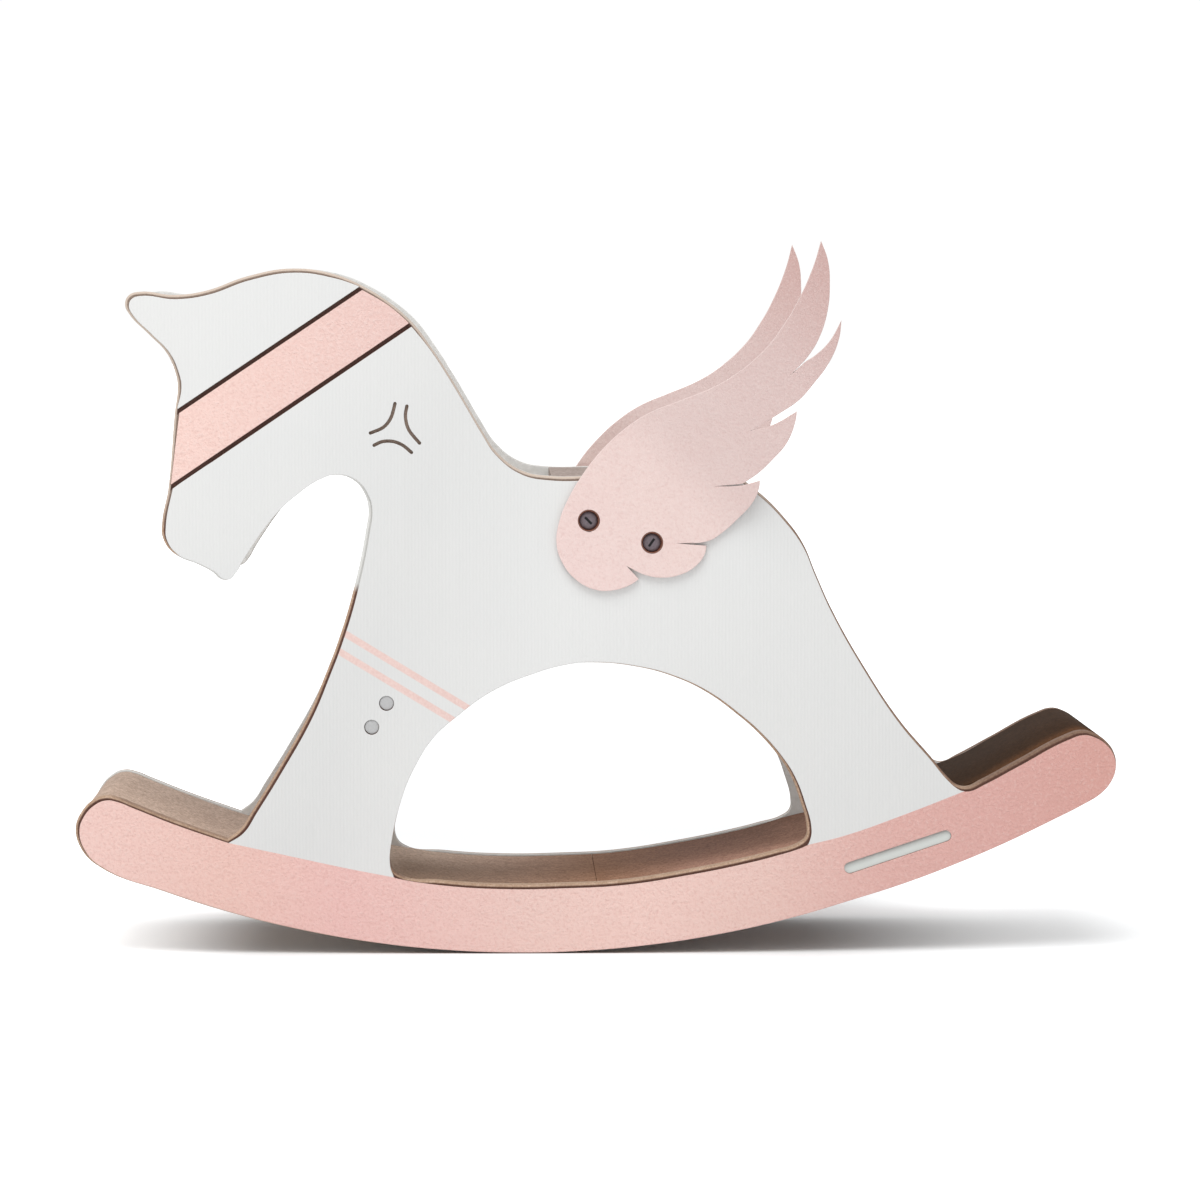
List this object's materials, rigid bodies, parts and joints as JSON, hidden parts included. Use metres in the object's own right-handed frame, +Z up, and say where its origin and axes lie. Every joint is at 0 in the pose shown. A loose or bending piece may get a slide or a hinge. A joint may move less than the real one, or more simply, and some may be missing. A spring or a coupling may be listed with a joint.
{
  "type": "rocking horse",
  "caption": "Toddler's rocking horse: two flat horse-shaped sides on curved runners, joined by a seat and curved decks, with feathered felt wings bent outwards beside the seat.",
  "frame": {"origin": "floor level under the middle of the overall length and width", "axes": "+X from the nose towards the tail end of the runners, +Y towards the horse's right side, +Z up"},
  "size_m": [0.7, 0.3748, 0.478],
  "materials": {
    "brown_board": "matte",
    "white_facing": "matte",
    "pink_facing": "matte",
    "pink_felt_band": "matte",
    "pink_felt_wing": "matte",
    "slot_floor": "matte",
    "dark_screw": "satin",
    "brown_cup": "matte",
    "grey_cap": "matte",
    "deck_board": "matte",
    "rail_wood": "matte"
  },
  "bodies": {
    "root": {"left_side_core": "brown_board", "left_poll_skin": "white_facing", "left_bridle_band": "pink_felt_band", "left_body_skin": "white_facing", "left_runner_skin": "pink_facing", "left_slot_insert": "slot_floor", "left_wing": "pink_felt_wing", "left_front_screw_cup": "brown_cup", "left_front_wing_screw": "dark_screw", "left_rear_screw_cup": "brown_cup", "left_rear_wing_screw": "dark_screw", "left_upper_leg_cap": "grey_cap", "left_lower_leg_cap": "grey_cap", "right_side_core": "brown_board", "right_poll_skin": "white_facing", "right_bridle_band": "pink_felt_band", "right_body_skin": "white_facing", "right_runner_skin": "pink_facing", "right_slot_insert": "slot_floor", "right_wing": "pink_felt_wing", "right_front_screw_cup": "brown_cup", "right_front_wing_screw": "dark_screw", "right_rear_screw_cup": "brown_cup", "right_rear_wing_screw": "dark_screw", "right_upper_leg_cap": "grey_cap", "right_lower_leg_cap": "grey_cap", "front_runner_deck": "deck_board", "rear_runner_deck": "deck_board", "seat_deck": "deck_board", "front_seat_rail": "rail_wood", "rear_seat_rail": "rail_wood", "leg_rail": "rail_wood"}
  },
  "joints": []
}
